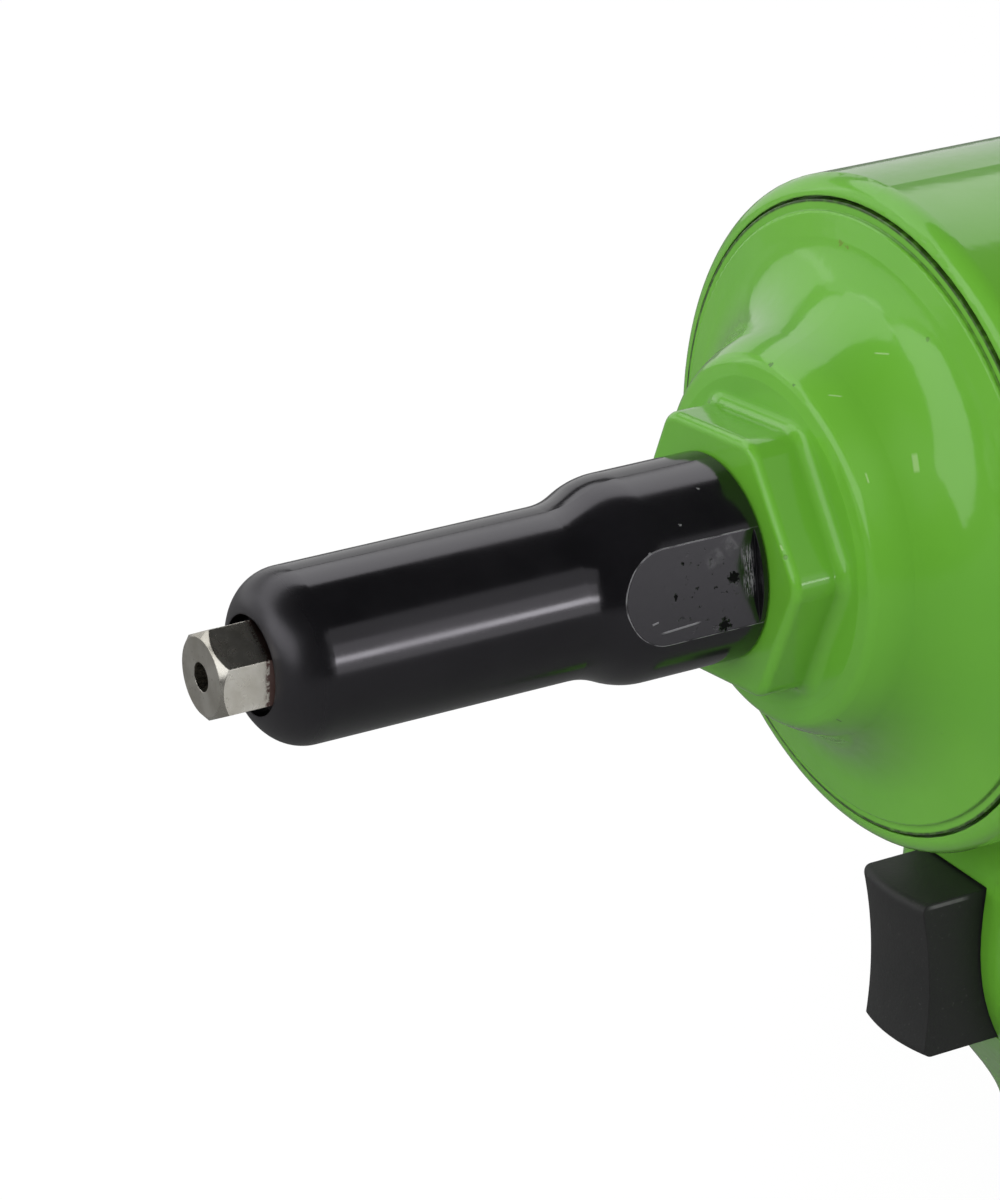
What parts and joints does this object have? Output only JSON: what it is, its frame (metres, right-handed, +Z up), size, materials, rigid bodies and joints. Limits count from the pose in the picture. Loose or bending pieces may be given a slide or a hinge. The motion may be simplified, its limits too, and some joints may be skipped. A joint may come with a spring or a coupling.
{
  "type": "pneumatic blind riveter",
  "caption": "Hand-held air riveter: horizontal cylinder with flared front cap, slim nose barrel, hexagonal nosepiece, block trigger in a leaning handle and a mandrel cup behind.",
  "frame": {"origin": "centre of the nosepiece's front face, at the mouth of its bore, on the tool axis", "axes": "+X along the tool axis out of the nose, +Z up with the handle hanging towards -Z, +Y to the tool's left"},
  "size_m": [0.2813, 0.0842, 0.2251],
  "materials": {
    "nickel_steel": "satin nickel plate, slightly warm",
    "black_oxide": "polished black oxide with light scratches",
    "tool_steel": "ground",
    "spring_steel": "oiled",
    "green_paint": "glossy leaf green paint over a casting",
    "seal_rubber": "smooth",
    "piston_aluminium": "turned",
    "collector_plastic": "moulded, lightly grained",
    "trigger_plastic": "fine moulded grain",
    "valve_brass": "turned",
    "base_plastic": "moulded, lightly grained",
    "inlet_steel": "zinc plated",
    "sintered_bronze": "sintered beads",
    "screw_steel": "black oxide"
  },
  "bodies": {
    "housing": {"housing": "green_paint", "nosepiece": "nickel_steel", "nose_barrel": "black_oxide", "front_cap": "green_paint", "front_cap_seal": "seal_rubber", "rod_seal": "seal_rubber", "partition_wall": "piston_aluminium", "partition_seal": "seal_rubber", "partition_rod_seal": "seal_rubber", "partition_ring": "spring_steel", "return_spring": "spring_steel", "rear_cap": "green_paint", "rear_cap_seal": "seal_rubber", "valve_bushing": "valve_brass", "valve_spring": "spring_steel", "handle_base": "base_plastic", "air_inlet": "inlet_steel", "muffler": "sintered_bronze", "base_screws": "screw_steel"},
    "piston": {"pull_rod": "tool_steel", "front_piston": "piston_aluminium", "front_piston_seal": "seal_rubber", "piston_spacer": "piston_aluminium", "rear_piston": "piston_aluminium", "rear_piston_seal": "seal_rubber", "piston_nut": "tool_steel", "jaw_case": "tool_steel", "jaw_spring": "spring_steel"},
    "jaw_pusher": {"jaw_pusher": "tool_steel"},
    "jaw_1": {"jaw_1": "tool_steel"},
    "jaw_2": {"jaw_2": "tool_steel"},
    "jaw_3": {"jaw_3": "tool_steel"},
    "trigger": {"trigger": "trigger_plastic", "valve_stem": "valve_brass", "valve_seal": "seal_rubber"},
    "collector": {"mandrel_collector": "collector_plastic"}
  },
  "joints": [
    {"name": "piston_stroke", "type": "slide", "parent": "housing", "child": "piston", "axis": [-1, 0, 0], "range_m": [0, 0.016], "stiffness_N_per_m": 2900, "springref_m": -0.02, "deforming": ["return_spring"]},
    {"name": "pusher_slide", "type": "slide", "parent": "piston", "child": "jaw_pusher", "axis": [1, 0, 0], "range_m": [0, 0.00215], "deforming": ["jaw_spring"]},
    {"name": "jaw_1_slide", "type": "slide", "parent": "piston", "child": "jaw_1", "axis": [0.9903, 0, -0.1392], "range_m": [0, 0.00215]},
    {"name": "jaw_2_slide", "type": "slide", "parent": "piston", "child": "jaw_2", "axis": [0.9903, 0.1205, 0.0696], "range_m": [0, 0.00215]},
    {"name": "jaw_3_slide", "type": "slide", "parent": "piston", "child": "jaw_3", "axis": [0.9903, -0.1205, 0.0696], "range_m": [0, 0.00215]},
    {"name": "trigger_pull", "type": "slide", "parent": "housing", "child": "trigger", "axis": [-1, 0, 0], "range_m": [0, 0.0045], "stiffness_N_per_m": 2000, "springref_m": -0.003, "deforming": ["valve_spring"]},
    {"name": "collector_twist", "type": "hinge", "parent": "housing", "child": "collector", "pos_m": [-0.2253, 0, 0], "axis": [-1, 0, 0], "range_deg": [0, 90]}
  ],
  "couplings": [
    {"joint": "pusher_slide", "follows": "piston_stroke", "ratio": 0.13307},
    {"joint": "jaw_1_slide", "follows": "piston_stroke", "ratio": 0.13437},
    {"joint": "jaw_2_slide", "follows": "piston_stroke", "ratio": 0.13437},
    {"joint": "jaw_3_slide", "follows": "piston_stroke", "ratio": 0.13437}
  ]
}
